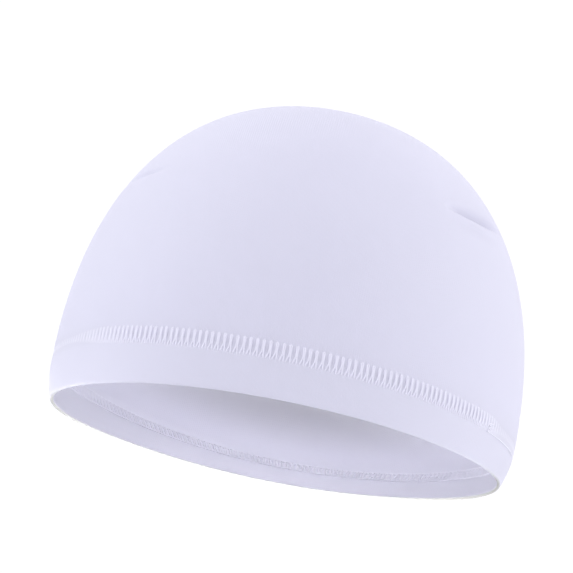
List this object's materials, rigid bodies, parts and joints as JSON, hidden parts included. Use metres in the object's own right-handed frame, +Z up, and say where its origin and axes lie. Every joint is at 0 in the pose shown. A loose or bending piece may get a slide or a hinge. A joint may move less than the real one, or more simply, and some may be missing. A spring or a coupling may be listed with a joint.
{
  "type": "helmet liner cap",
  "caption": "Close skull cap of thin stretch jersey with a folded hem band and a small dart in each side, worn under a helmet.",
  "frame": {"origin": "centre of the head opening, level with the rim", "axes": "+Z up through the crown, -Y towards the forehead, +X towards the wearer's left"},
  "size_m": [0.16, 0.197, 0.1179],
  "materials": {
    "crown_jersey": "smooth matt stretch jersey, pale lavender white",
    "hem_jersey": "the same jersey, folded double",
    "seam_thread": "textured sewing thread, slightly lighter than the jersey"
  },
  "bodies": {
    "root": {"crown": "crown_jersey", "hem_band": "hem_jersey"}
  },
  "joints": []
}
